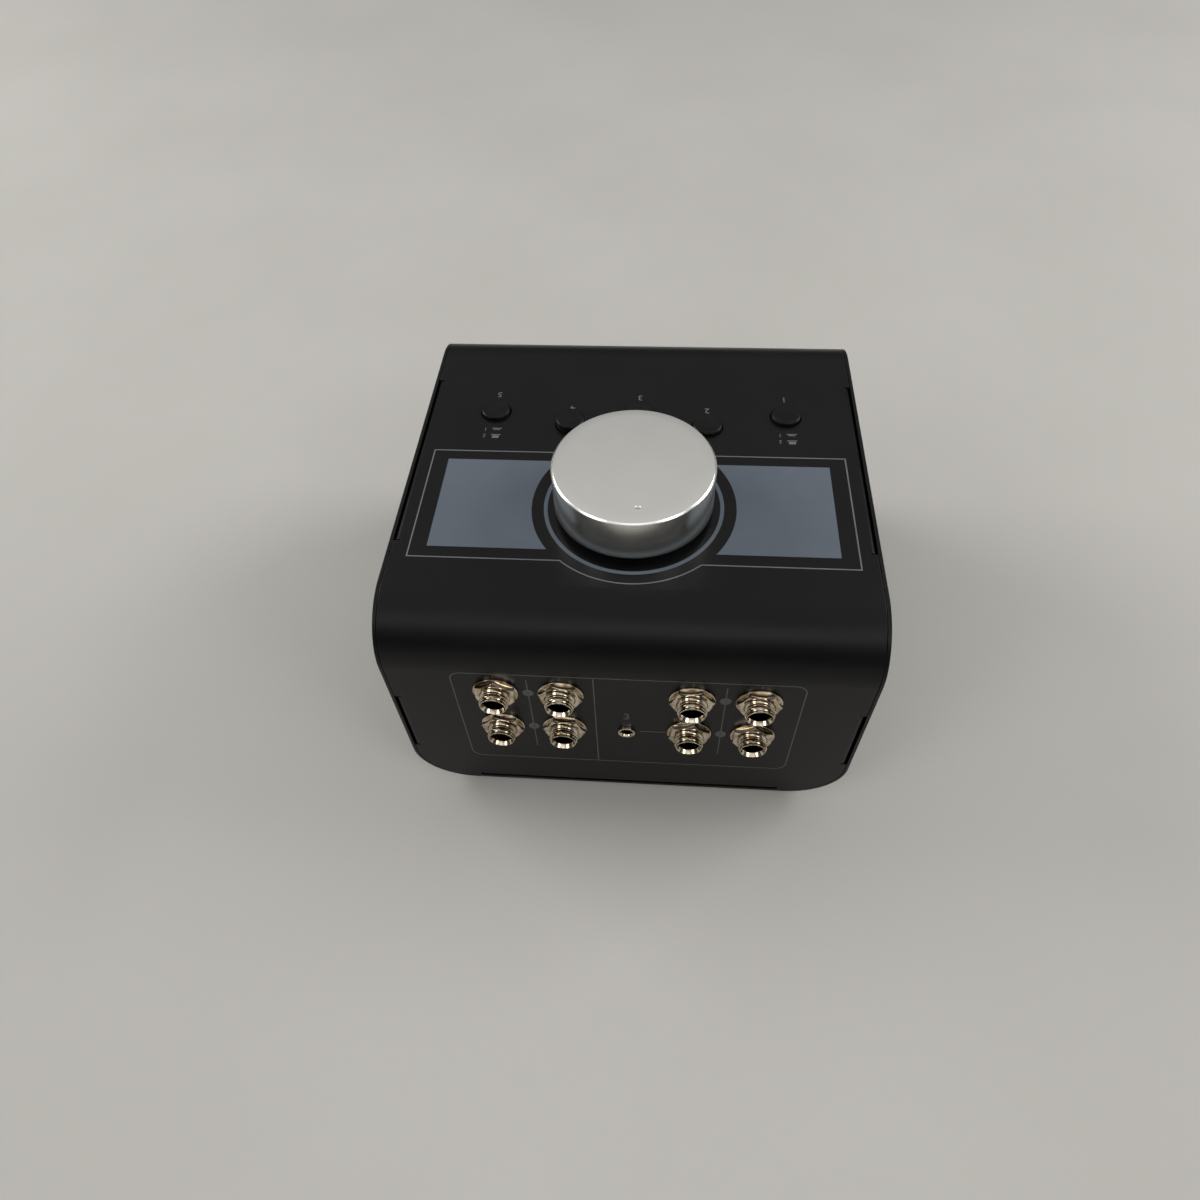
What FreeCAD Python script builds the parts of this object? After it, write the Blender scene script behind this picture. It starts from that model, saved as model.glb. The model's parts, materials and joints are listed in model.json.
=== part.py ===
import FreeCAD, Part

import os
import re

import Sketcher

# Studio monitor controller: a small desktop box with a large volume knob, five push buttons on
# the top, and eight quarter-inch jacks and one mini jack on the rear.
# Millimetres. +Z is up, the user sits at -Y, the jacks face +Y, and +X is the user's right.
# The origin is under the middle of the whole object, on the surface that it stands on.

DIMENSIONS = {
    # case
    "case_width": 150.0,
    "case_depth": 148.0,
    "case_height": 90.0,
    "sheet": 1.0,
    "bend_radius": 19.0,
    "seam_gap": 0.3,
    # feet
    "foot_height": 2.0,
    "foot_radius": 6.0,
    "foot_x": 46.0,
    "foot_y": 52.0,
    # flanges of the cover, which lie inside the tray
    "flange_depth": 12.0,
    "flange_bend": 1.8,
    "top_flange_half": 38.5,
    "end_flange_upper": 36.0,
    "end_flange_lower": 67.0,
    "floor_flange_half": 52.8,
    "relief": 0.6,
    "relief_depth": 2.0,
    # case screws, countersunk in the tray and held by nuts on the flanges
    "screw_radius": 1.45,
    "screw_hole": 1.6,
    "screw_head": 2.45,
    "screw_length": 5.0,
    "socket_radius": 1.15,
    "socket_depth": 0.8,
    "side_screw_y": 25.0,
    "side_screw_drop": 8.0,
    "floor_screw_x": 35.0,
    "floor_screw_inset": 8.0,
    "clinch_radius": 3.2,
    "clinch_thick": 2.0,
    # quarter-inch jacks
    "jack_x": 20.2,
    "jack_pitch": 20.3,
    "jack_drop": 29.6,
    "nose_out": 6.0,
    "nose_seat": 4.0,
    "nose_radius": 4.5,
    "nose_tip": 4.15,
    "nose_tip_length": 1.0,
    "nose_bore": 3.25,
    "nose_flare": 4.05,
    "flare_depth": 1.2,
    "nose_hole": 4.7,
    "washer_radius": 7.1,
    "washer_thick": 0.7,
    "nut_corner": 7.05,
    "nut_thick": 1.6,
    "nut_bevel": 0.55,
    "jack_side": 15.6,
    "jack_depth": 25.0,
    "jack_cavity": 3.5,
    "jack_back": 1.5,
    # mini jack
    "aux_drop": 51.0,
    "aux_out": 1.0,
    "aux_radius": 2.8,
    "aux_bore": 1.8,
    "aux_hole": 2.95,
    "aux_side": 9.0,
    "aux_depth": 14.0,
    "aux_seat": 2.0,
    "aux_cavity": 2.5,
    "aux_back": 1.2,
    # circuit boards
    "board_thick": 1.6,
    "pin_length": 3.2,
    "pin_wide": 1.8,
    "pin_thick": 0.6,
    "pin_pitch": 5.0,
    "jack_board_half": 51.0,
    "jack_board_upper": 19.0,
    "jack_board_lower": 61.0,
    "board_drop": 15.5,
    "board_half": 59.0,
    "board_rear": 30.0,
    "board_front": 112.0,
    "pot_window": 14.5,
    "standoff_x": 53.0,
    "standoff_rear": 36.0,
    "standoff_front": 108.0,
    "standoff_corner": 3.2,
    "standoff_bore": 1.5,
    "header_half": 18.0,
    "header_tall": 8.0,
    "header_deep": 7.0,
    "header_pitch": 4.0,
    # volume control
    "knob_inset": 52.6,
    "knob_radius": 25.0,
    "knob_height": 15.0,
    "knob_gap": 3.0,
    "knob_wall": 3.0,
    "knob_crown": 4.0,
    "knob_edge": 0.5,
    "hub_radius": 9.0,
    "hub_gap": 4.2,
    "insert_radius": 5.5,
    "dimple_from_centre": 18.3,
    "dimple_turn": 6.5,
    "dimple_radius": 0.7,
    "dimple_depth": 0.25,
    "shaft_radius": 3.0,
    "shaft_gap": 0.05,
    "shaft_reach": 13.4,
    "pot_bushing_radius": 4.0,
    "pot_bushing_reach": 3.6,
    "pot_hole": 4.15,
    "pot_plate_half": 13.5,
    "pot_plate_thick": 2.0,
    "pot_washer_radius": 6.5,
    "pot_washer_thick": 0.5,
    "pot_nut_corner": 6.3,
    "pot_nut_thick": 2.2,
    "wafer_half": 12.0,
    "wafer_thick": 6.0,
    "lug_reach": 5.0,
    "lug_thick": 0.6,
    # push buttons and their switches
    "inner_button_x": 23.5,
    "outer_button_x": 50.3,
    "inner_button_inset": 90.5,
    "outer_button_inset": 96.2,
    "middle_button_inset": 96.8,
    "cap_radius": 5.0,
    "cap_hole": 5.4,
    "cap_out": 3.0,
    "cap_tall": 8.2,
    "cap_edge": 0.5,
    "cap_dish": 0.25,
    "latch_drop": 1.4,
    "switch_half": 4.25,
    "switch_tall": 7.5,
    "switch_wall": 0.8,
    "chamber_half": 3.0,
    "stem_half": 2.0,
    "stem_gap": 0.08,
    "stem_top": 3.5,
    "collar_half": 2.75,
    "collar_tall": 1.0,
    "collar_play": 0.3,
    "spring_radius": 1.9,
    "spring_wire": 0.4,
}

# Places that the driving dimensions give.
REAR = "((case_depth - nose_out) / 2)"
FRONT = "((-case_depth - nose_out) / 2)"
MIDDLE = "(-nose_out / 2)"
TOP = "(foot_height + case_height)"
CEILING = f"({TOP} - sheet)"
REAR_INSIDE = f"({REAR} - sheet)"
COVER_SIDE = "(case_width / 2 - sheet - seam_gap)"
COVER_FOOT = "(foot_height + sheet + seam_gap)"
KNOB_Y = f"({REAR} - knob_inset)"
JACK_BACK = f"({REAR_INSIDE} - jack_depth)"
BOARD_TOP = f"({TOP} - board_drop)"
BOARD_UNDER = f"({BOARD_TOP} - board_thick)"
POT_PLATE_UNDER = f"({CEILING} - pot_plate_thick)"

JACK_COLUMNS = [f"({side} * (jack_x + {step} * jack_pitch))" for side in (-1, 1) for step in (0, 1)]
JACK_ROWS = [f"({TOP} - jack_drop - {step} * jack_pitch)" for step in (0, 1)]
AUX_Z = f"({TOP} - aux_drop)"

SIDE_SCREWS = [(f"({MIDDLE} + {way} * side_screw_y)", f"({TOP} - side_screw_drop)") for way in (-1, 1)]
FLOOR_SCREWS = [
    (f"({side} * floor_screw_x)", f"({MIDDLE} + {way} * (case_depth / 2 - floor_screw_inset))")
    for side in (-1, 1)
    for way in (-1, 1)
]
STANDOFFS = [
    (f"({side} * standoff_x)", f"({REAR} - {place})")
    for side in (-1, 1)
    for place in ("standoff_rear", "standoff_front")
]

# Each jack nut stops at its own turn, in degrees: the upper and the lower nut of each column.
NUT_TURNS = [-6, 41, 2, 33, 11, 4, 32, 11]

# Each button: name, place from the middle, distance from the rear face, and whether it is
# latched in at rest.
BUTTONS = [
    ("input_select", "(-outer_button_x)", f"({REAR} - outer_button_inset)", True),
    ("mono", "(-inner_button_x)", f"({REAR} - inner_button_inset)", True),
    ("mute", "0", f"({REAR} - middle_button_inset)", True),
    ("dim", "inner_button_x", f"({REAR} - inner_button_inset)", False),
    ("output_select", "outer_button_x", f"({REAR} - outer_button_inset)", True),
]

GANGS = 4
LUGS_PER_GANG = 3
HEADER_PINS = 8
PINS_PER_JACK = 3

V = FreeCAD.Vector
doc = FreeCAD.newDocument("monitor_controller")
nodes = []


# ---------------------------------------------------------------- sheet and expressions


def make_sheet():
    sheet = doc.addObject("Spreadsheet::Sheet", "dims")
    for row, (name, size) in enumerate(DIMENSIONS.items(), start=1):
        sheet.set(f"A{row}", name)
        sheet.set(f"B{row}", str(size))
        sheet.setAlias(f"B{row}", name)
    doc.recompute()
    return sheet


dims = make_sheet()


def bound(text):
    """The expression with each dimension's name pointing at its cell."""
    return re.sub(r"[a-z_]+", lambda word: f"dims.{word[0]}" if word[0] in DIMENSIONS else word[0], text)


def number(text):
    """The expression's value now."""
    return float(dims.evalExpression(bound(text)))


# ---------------------------------------------------------------- sketches


def hold(sketch, kind, *places, size):
    """Add a dimension to a sketch and bind it to the sheet."""
    index = sketch.addConstraint(Sketcher.Constraint(kind, *places, number(size)))
    sketch.setExpression(f"Constraints[{index}]", bound(size))


def outline(points):
    """A closed outline through points, each a pair of expressions."""

    def draw(sketch):
        corners = [V(number(x), number(y), 0) for x, y in points]
        edges = [
            sketch.addGeometry(Part.LineSegment(start, end))
            for start, end in zip(corners, corners[1:] + corners[:1])
        ]
        for edge, following in zip(edges, edges[1:] + edges[:1]):
            sketch.addConstraint(Sketcher.Constraint("Coincident", edge, 2, following, 1))
        for edge, (x, y) in zip(edges, points):
            hold(sketch, "DistanceX", -1, 1, edge, 1, size=x)
            hold(sketch, "DistanceY", -1, 1, edge, 1, size=y)

    return draw


def rectangle(left, right, low, high):
    return outline([(left, low), (right, low), (right, high), (left, high)])


def square(half, x="0", y="0"):
    return rectangle(f"{x} - ({half})", f"{x} + ({half})", f"{y} - ({half})", f"{y} + ({half})")


def hexagon(corner, x="0", y="0", turn=0):
    turns = [turn + 60 * step for step in range(6)]
    return outline([(f"{x} + {corner} * cos({turn})", f"{y} + {corner} * sin({turn})") for turn in turns])


def disc(radius, x="0", y="0"):
    def draw(sketch):
        circle = Part.Circle(V(number(x), number(y), 0), V(0, 0, 1), number(radius))
        edge = sketch.addGeometry(circle)
        hold(sketch, "Radius", edge, size=radius)
        hold(sketch, "DistanceX", -1, 1, edge, 3, size=x)
        hold(sketch, "DistanceY", -1, 1, edge, 3, size=y)

    return draw


def origin_feature(body, role):
    return next(feature for feature in body.Origin.OriginFeatures if feature.Role == role)


def sketch_on(body, plane, level, shapes):
    """A sketch on one of the body's origin planes, moved to a level along that plane's axis."""
    sketch = body.newObject("Sketcher::SketchObject", f"{body.Name}_sketch")
    sketch.AttachmentSupport = [(origin_feature(body, f"{plane}_Plane"), "")]
    sketch.MapMode = "FlatFace"
    # the XZ plane's normal points along -Y
    offset = f"-({level})" if plane == "XZ" else level
    sketch.setExpression("AttachmentOffset.Base.z", bound(offset))
    for draw in shapes:
        draw(sketch)
    return sketch


# ---------------------------------------------------------------- features


def new_body(name):
    body = doc.addObject("PartDesign::Body", name)
    body.Label = name
    nodes.append(body)
    return body


def add_feature(body, kind, **settings):
    feature = body.newObject(f"PartDesign::{kind}", f"{body.Name}_{kind}")
    for setting, value in settings.items():
        setattr(feature, setting, value)
    return feature


def pad(body, plane, level, length, way, *shapes):
    """Pad shapes drawn at a level of a plane; way is +1 or -1 along the plane's axis."""
    facing = -1 if plane == "XZ" else 1
    profile = sketch_on(body, plane, level, shapes)
    feature = add_feature(body, "Pad", Profile=profile, Reversed=way != facing)
    feature.setExpression("Length", bound(length))
    return feature


def pocket(body, plane, level, length, way, *shapes):
    """Cut shapes drawn at a level of a plane; way is +1 or -1 along the plane's axis."""
    facing = -1 if plane == "XZ" else 1
    profile = sketch_on(body, plane, level, shapes)
    doc.recompute()
    before = body.Shape.Volume
    feature = add_feature(body, "Pocket", Profile=profile, Reversed=way == facing)
    feature.setExpression("Length", bound(length))
    doc.recompute()
    if body.Shape.Volume >= before:
        raise RuntimeError(f"{feature.Name} cuts nothing")
    return feature


def revolve(body, plane, level, points, axis="H_Axis", shift=None, kind="Revolution"):
    """Revolve an outline about an axis of its sketch; shift moves the sketch within its plane."""
    profile = sketch_on(body, plane, level, [outline(points)])
    if shift:
        across, up = shift
        profile.setExpression("AttachmentOffset.Base.x", bound(across))
        profile.setExpression("AttachmentOffset.Base.y", bound(up))
    return add_feature(body, kind, Profile=profile, ReferenceAxis=(profile, [axis]), Angle=360)


def dress(body, kind, size_name, size, chosen):
    """Round or bevel the edges that a test picks."""
    doc.recompute()
    base = body.Tip
    names = [f"Edge{n}" for n, edge in enumerate(base.Shape.Edges, start=1) if chosen(edge)]
    if not names:
        raise RuntimeError(f"no edges of {body.Label} to dress")
    feature = add_feature(body, kind, Base=(base, names))
    feature.setExpression(size_name, bound(size))
    doc.recompute()
    return feature


def fillet(body, radius, chosen):
    return dress(body, "Fillet", "Radius", radius, chosen)


def chamfer(body, size, chosen):
    return dress(body, "Chamfer", "Size", size, chosen)


def shell(body, thickness, is_open):
    """Hollow a block into a sheet, without the faces that a test picks."""
    doc.recompute()
    base = body.Tip
    names = [f"Face{n}" for n, face in enumerate(base.Shape.Faces, start=1) if is_open(face.CenterOfMass)]
    feature = add_feature(body, "Thickness", Base=(base, names), Reversed=True)
    feature.setExpression("Value", bound(thickness))
    doc.recompute()
    return feature


def repeat(body, features, *steps):
    """Repeat features by steps: ("X_Axis", pitch, count) for a row, ("YZ_Plane",) for a mirror."""
    moves = []
    for role, *row in steps:
        if row:
            move = doc.addObject("PartDesign::LinearPattern", f"{body.Name}_row")
            move.Direction = (origin_feature(body, role), [""])
            move.setExpression("Length", bound(f"{row[0]} * ({row[1]} - 1)"))
            move.Occurrences = row[1]
        else:
            move = doc.addObject("PartDesign::Mirrored", f"{body.Name}_mirror")
            move.MirrorPlane = (origin_feature(body, role), [""])
        moves.append(move)
    pattern = add_feature(body, "MultiTransform", Originals=features)
    pattern.Transformations = moves
    body.Tip = pattern
    return pattern


def block(name, x, y, z):
    """A Part box between pairs of expressions for its low and high faces."""
    box = doc.addObject("Part::Box", name)
    box.Label = name
    for side, (low, high), axis in zip(("Length", "Width", "Height"), (x, y, z), "xyz"):
        box.setExpression(side, bound(f"{high} - ({low})"))
        box.setExpression(f"Placement.Base.{axis}", bound(low))
    nodes.append(box)
    return box


def runs_along(edge, axis):
    """Whether an edge is straight and parallel to an axis."""
    if not isinstance(edge.Curve, Part.Line):
        return False
    return abs(edge.Curve.Direction.dot(axis)) > 0.999


def is_circle(edge, radius):
    return isinstance(edge.Curve, Part.Circle) and abs(edge.Curve.Radius - number(radius)) < 0.01


def near(value, expression, slack=0.05):
    return abs(value - number(expression)) < slack


X_WAY, Y_WAY, Z_WAY = V(1, 0, 0), V(0, 1, 0), V(0, 0, 1)


# ---------------------------------------------------------------- case


def make_top_cover():
    """The bent sheet that is the front, top and rear, with flanges inside the tray."""
    cover = new_body("top_cover")
    pad(cover, "YZ", f"-{COVER_SIDE}", f"2 * {COVER_SIDE}", 1, rectangle(FRONT, REAR, COVER_FOOT, TOP))
    fillet(cover, "bend_radius", lambda e: runs_along(e, X_WAY) and near(e.CenterOfMass.z, TOP))
    fillet(
        cover,
        "bend_radius - sheet - seam_gap",
        lambda e: runs_along(e, Y_WAY) and near(e.CenterOfMass.z, COVER_FOOT),
    )
    side_band = number(f"{COVER_SIDE} - bend_radius / 2")
    foot_band = number(f"{COVER_FOOT} + sheet")
    shell(cover, "sheet", lambda centre: abs(centre.x) > side_band or centre.z < foot_band)
    add_cover_flanges(cover)
    cut_cover_holes(cover)
    return cover


def add_cover_flanges(cover):
    """Flanges bent in from the cover's edges, each between two relief notches."""
    flange = "flange_depth - sheet"
    edge_bands = [(f"{side} * ({COVER_SIDE} - sheet)", f"{side} * {COVER_SIDE}") for side in (-1, 1)]
    ends = [(REAR, -1), (FRONT, 1)]

    along = (f"{MIDDLE} - top_flange_half", f"{MIDDLE} + top_flange_half")
    pad(cover, "XY", CEILING, flange, -1, *[rectangle(*band, *along) for band in edge_bands])
    upright = (f"{TOP} - end_flange_lower", f"{TOP} - end_flange_upper")
    for face, way in ends:
        inside = f"{face} + {way} * sheet"
        pad(cover, "XZ", inside, flange, way, *[rectangle(*band, *upright) for band in edge_bands])
        low = rectangle("-floor_flange_half", "floor_flange_half", COVER_FOOT, f"{COVER_FOOT} + sheet")
        pad(cover, "XZ", inside, flange, way, low)

    notch_bands = [(f"{side} * ({COVER_SIDE} - relief_depth)", f"{side} * {COVER_SIDE}") for side in (-1, 1)]
    top_ends = [
        (f"{MIDDLE} + {way} * top_flange_half", f"{MIDDLE} + {way} * (top_flange_half + relief)")
        for way in (-1, 1)
    ]
    notches = [rectangle(*band, *end) for band in notch_bands for end in top_ends]
    pocket(cover, "XY", TOP, "sheet", -1, *notches)
    upright_ends = [
        (f"{TOP} - end_flange_upper", f"{TOP} - end_flange_upper + relief"),
        (f"{TOP} - end_flange_lower - relief", f"{TOP} - end_flange_lower"),
    ]
    notches = [rectangle(*band, *end) for band in notch_bands for end in upright_ends]
    for side in (-1, 1):
        low_end = (f"{side} * floor_flange_half", f"{side} * (floor_flange_half + relief)")
        notches.append(rectangle(*low_end, COVER_FOOT, f"{COVER_FOOT} + relief_depth"))
    for face, way in ends:
        pocket(cover, "XZ", face, "sheet", way, *notches)

    def at_bend(edge, inset):
        """Whether an edge is a flange's bend line, inset from the cover's outer faces."""
        centre = edge.CenterOfMass
        at_side = near(abs(centre.x), f"{COVER_SIDE} - {inset}")
        at_end = near(abs(centre.y - number(MIDDLE)), f"case_depth / 2 - {inset}")
        if runs_along(edge, Y_WAY):
            return at_side and near(centre.z, f"{TOP} - {inset}") and near(centre.y, MIDDLE)
        if runs_along(edge, Z_WAY):
            middle = f"{TOP} - (end_flange_upper + end_flange_lower) / 2"
            return at_side and at_end and near(centre.z, middle)
        if runs_along(edge, X_WAY):
            return at_end and near(centre.z, f"{COVER_FOOT} + {inset}") and near(centre.x, "0")
        return False

    fillet(cover, "flange_bend", lambda e: at_bend(e, "0"))
    fillet(cover, "flange_bend - sheet", lambda e: at_bend(e, "sheet"))


def cut_cover_holes(cover):
    jack_holes = [disc("nose_hole", x, z) for x in JACK_COLUMNS for z in JACK_ROWS]
    pocket(cover, "XZ", REAR, "2 * sheet", -1, disc("aux_hole", "0", AUX_Z), *jack_holes)
    button_holes = [disc("cap_hole", x, y) for _, x, y, _ in BUTTONS]
    pocket(cover, "XY", TOP, "2 * sheet", -1, disc("pot_hole", "0", KNOB_Y), *button_holes)
    side_holes = [disc("screw_radius", y, z) for y, z in SIDE_SCREWS]
    for side in (-1, 1):
        pocket(cover, "YZ", f"{side} * {COVER_SIDE}", "2 * sheet", -side, *side_holes)
    floor_holes = [disc("screw_radius", x, y) for x, y in FLOOR_SCREWS]
    pocket(cover, "XY", f"{COVER_FOOT} + 2 * sheet", "3 * sheet", -1, *floor_holes)


def make_base_tray():
    """The bent sheet that is both side walls and the bottom; its rims follow the cover's bends."""
    tray = new_body("base_tray")
    block_outline = rectangle("-case_width / 2", "case_width / 2", "foot_height", TOP)
    pad(tray, "XZ", REAR, "case_depth", -1, block_outline)
    fillet(tray, "bend_radius", lambda e: runs_along(e, X_WAY) and near(e.CenterOfMass.z, TOP))
    fillet(tray, "bend_radius", lambda e: runs_along(e, Y_WAY) and near(e.CenterOfMass.z, "foot_height"))
    high_band = number(f"{TOP} - bend_radius / 2")
    end_band = number("case_depth / 2 - sheet")
    middle = number(MIDDLE)
    shell(tray, "sheet", lambda centre: centre.z > high_band or abs(centre.y - middle) > end_band)
    holes = [disc("screw_hole", y, z) for y, z in SIDE_SCREWS]
    pocket(tray, "YZ", "-case_width / 2", "case_width", 1, *holes)
    holes = [disc("screw_hole", x, y) for x, y in FLOOR_SCREWS]
    pocket(tray, "XY", "foot_height", "sheet", 1, *holes)

    def at_outside(edge):
        centre = edge.CenterOfMass
        outside = near(abs(centre.x), "case_width / 2") or near(centre.z, "foot_height")
        return is_circle(edge, "screw_hole") and outside

    chamfer(tray, "screw_head - screw_hole", at_outside)
    return tray


def make_rubber_feet():
    feet = new_body("rubber_feet")
    places = [(f"{side} * foot_x", f"{MIDDLE} + {way} * foot_y") for side in (-1, 1) for way in (-1, 1)]
    pad(feet, "XY", "0", "foot_height", 1, *[disc("foot_radius", x, y) for x, y in places])
    chamfer(feet, "foot_height / 4", lambda e: is_circle(e, "foot_radius") and near(e.CenterOfMass.z, "0"))
    return feet


def add_screw(screws, plane, level, way, across, up):
    """One countersunk screw: a shank, a cone for the head and a hexagonal socket in the head."""
    pad(screws, plane, level, "screw_length", way, disc("screw_radius", across, up))
    cone = pad(screws, plane, level, "screw_head - screw_hole", way, disc("screw_head", across, up))
    cone.TaperAngle = -45
    pocket(screws, plane, level, "socket_depth", way, hexagon("socket_radius", across, up))


def make_case_screws():
    side_screws = new_body("side_screws")
    for side in (-1, 1):
        for y, z in SIDE_SCREWS:
            add_screw(side_screws, "YZ", f"{side} * case_width / 2", -side, y, z)
    floor_screws = new_body("floor_screws")
    for x, y in FLOOR_SCREWS:
        add_screw(floor_screws, "XY", "foot_height", 1, x, y)


def make_clinch_nuts():
    """Press nuts on the inner side of the flanges."""
    side_nuts = new_body("side_clinch_nuts")
    for side in (-1, 1):
        level = f"{side} * ({COVER_SIDE} - sheet)"
        discs = [disc(r, y, z) for r in ("clinch_radius", "screw_radius") for y, z in SIDE_SCREWS]
        pad(side_nuts, "YZ", level, "clinch_thick", -side, *discs)
    floor_nuts = new_body("floor_clinch_nuts")
    discs = [disc(r, x, y) for r in ("clinch_radius", "screw_radius") for x, y in FLOOR_SCREWS]
    pad(floor_nuts, "XY", f"{COVER_FOOT} + sheet", "clinch_thick", 1, *discs)


# ---------------------------------------------------------------- jacks

JACK_GRID = [("X_Axis", "jack_pitch", 2), ("Z_Axis", "jack_pitch", 2), ("YZ_Plane",)]
LOWER_ROW = JACK_ROWS[1]


def make_jack_noses():
    """Threaded bushings: a threaded barrel, a smaller tip, and a bore that flares at its mouth."""
    noses = new_body("jack_noses")
    back = f"({REAR_INSIDE} - nose_seat)"
    mouth = f"({REAR} + nose_out)"
    profile = [
        (back, "nose_bore"),
        (back, "nose_radius"),
        (f"{mouth} - nose_tip_length", "nose_radius"),
        (f"{mouth} - nose_tip_length", "nose_tip"),
        (mouth, "nose_tip"),
        (mouth, "nose_flare"),
        (f"{mouth} - flare_depth", "nose_bore"),
    ]
    nose = revolve(noses, "YZ", "jack_x", profile, shift=("0", LOWER_ROW))
    repeat(noses, [nose], *JACK_GRID)
    return noses


def make_jack_hardware():
    washers = new_body("jack_washers")
    rings = [disc("washer_radius", "jack_x", LOWER_ROW), disc("nose_radius", "jack_x", LOWER_ROW)]
    washer = pad(washers, "XZ", REAR, "washer_thick", 1, *rings)
    repeat(washers, [washer], *JACK_GRID)

    nuts = new_body("jack_nuts")
    seat = f"({REAR} + washer_thick)"
    places = [(x, z) for x in JACK_COLUMNS for z in JACK_ROWS]
    blanks = [hexagon("nut_corner", *place, turn) for place, turn in zip(places, NUT_TURNS)]
    pad(nuts, "XZ", seat, "nut_thick", 1, *blanks)
    pocket(nuts, "XZ", seat, "nut_thick", 1, *[disc("nose_radius", *place) for place in places])
    face = f"({seat} + nut_thick)"
    corner = [
        (face, "nut_corner - nut_bevel / tan(30)"),
        (face, "nut_corner + nut_bevel / tan(30)"),
        (f"{face} - 2 * nut_bevel", "nut_corner + nut_bevel / tan(30)"),
    ]
    bevel = revolve(nuts, "YZ", "jack_x", corner, shift=("0", LOWER_ROW), kind="Groove")
    repeat(nuts, [bevel], *JACK_GRID)


def make_jack_housings():
    """Moulded housings behind the panel, with a seat for the nose and a chamber for the plug."""
    housings = new_body("jack_housings")
    at = ("jack_x", LOWER_ROW)
    case = pad(housings, "XZ", REAR_INSIDE, "jack_depth", -1, square("jack_side / 2", *at))
    seat = pocket(housings, "XZ", REAR_INSIDE, "nose_seat", -1, disc("nose_radius", *at))
    chamber = pocket(housings, "XZ", REAR_INSIDE, "jack_depth - jack_back", -1, disc("jack_cavity", *at))
    repeat(housings, [case, seat, chamber], *JACK_GRID)

    pins = new_body("jack_pins")
    tab = rectangle(
        "jack_x - pin_pitch - pin_wide / 2",
        "jack_x - pin_pitch + pin_wide / 2",
        f"{LOWER_ROW} - pin_thick / 2",
        f"{LOWER_ROW} + pin_thick / 2",
    )
    pin = pad(pins, "XZ", JACK_BACK, "pin_length", -1, tab)
    repeat(pins, [pin], ("X_Axis", "pin_pitch", PINS_PER_JACK), *JACK_GRID)


def make_aux_jack():
    """Mini jack: a plain nickel nose, its housing and a spacer that carries it on the board."""
    nose = new_body("aux_jack_nose")
    bevel = "(aux_radius - aux_bore) / 2"
    mouth = f"({REAR} + aux_out)"
    back = f"({REAR_INSIDE} - aux_seat)"
    profile = [
        (back, "aux_bore"),
        (back, "aux_radius"),
        (f"{mouth} - {bevel} / 3", "aux_radius"),
        (mouth, f"aux_radius - {bevel} / 3"),
        (mouth, f"aux_bore + {bevel}"),
        (f"{mouth} - {bevel}", "aux_bore"),
    ]
    revolve(nose, "YZ", "0", profile, shift=("0", AUX_Z))

    housing = new_body("aux_jack_housing")
    pad(housing, "XZ", REAR_INSIDE, "aux_depth", -1, square("aux_side / 2", "0", AUX_Z))
    pocket(housing, "XZ", REAR_INSIDE, "aux_seat", -1, disc("aux_radius", "0", AUX_Z))
    pocket(housing, "XZ", REAR_INSIDE, "aux_depth - aux_back", -1, disc("aux_cavity", "0", AUX_Z))

    half = "aux_side / 3"
    block(
        "aux_jack_spacer",
        (f"-{half}", half),
        (JACK_BACK, f"{REAR_INSIDE} - aux_depth"),
        (f"{AUX_Z} - {half}", f"{AUX_Z} + {half}"),
    )


# ---------------------------------------------------------------- boards


def make_boards():
    block(
        "jack_board",
        ("-jack_board_half", "jack_board_half"),
        (f"{JACK_BACK} - board_thick", JACK_BACK),
        (f"{TOP} - jack_board_lower", f"{TOP} - jack_board_upper"),
    )

    board = new_body("control_board")
    plate = rectangle("-board_half", "board_half", f"{REAR} - board_front", f"{REAR} - board_rear")
    pad(board, "XY", BOARD_TOP, "board_thick", -1, plate)
    holes = [disc("screw_hole", x, y) for x, y in STANDOFFS]
    pocket(board, "XY", BOARD_TOP, "board_thick", -1, square("pot_window", "0", KNOB_Y), *holes)

    standoffs = new_body("board_standoffs")
    length = f"{CEILING} - {BOARD_TOP}"
    pad(standoffs, "XY", BOARD_TOP, length, 1, *[hexagon("standoff_corner", x, y) for x, y in STANDOFFS])
    bores = [disc("standoff_bore", x, y) for x, y in STANDOFFS]
    pocket(standoffs, "XY", BOARD_TOP, f"({length}) * 0.8", 1, *bores)

    screws = new_body("board_screws")
    shanks = [disc("screw_radius", x, y) for x, y in STANDOFFS]
    heads = [disc("screw_head", x, y) for x, y in STANDOFFS]
    pad(screws, "XY", BOARD_UNDER, "screw_length + board_thick", 1, *shanks)
    pad(screws, "XY", BOARD_UNDER, "screw_radius", -1, *heads)


def make_header():
    """A right-angle header joins the two boards: plug on the jack board, socket under the other."""
    board_face = f"({JACK_BACK} - board_thick)"
    socket_rear = f"({REAR} - board_rear)"
    low = f"({BOARD_UNDER} - header_tall)"
    across = ("-header_half", "header_half")
    block("header_socket", across, (f"{socket_rear} - header_deep", socket_rear), (low, BOARD_UNDER))
    block("header_plug", across, (socket_rear, board_face), (low, BOARD_UNDER))

    pins = new_body("header_pins")
    first = f"(-header_pitch * ({HEADER_PINS} - 1) / 2)"
    middle = f"({BOARD_UNDER} - header_tall / 2)"
    length = f"{board_face} - {socket_rear} + header_deep / 2"
    pin = pad(pins, "XZ", board_face, length, -1, square("pin_thick / 2", first, middle))
    repeat(pins, [pin], ("X_Axis", "header_pitch", HEADER_PINS))


# ---------------------------------------------------------------- volume control


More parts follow.
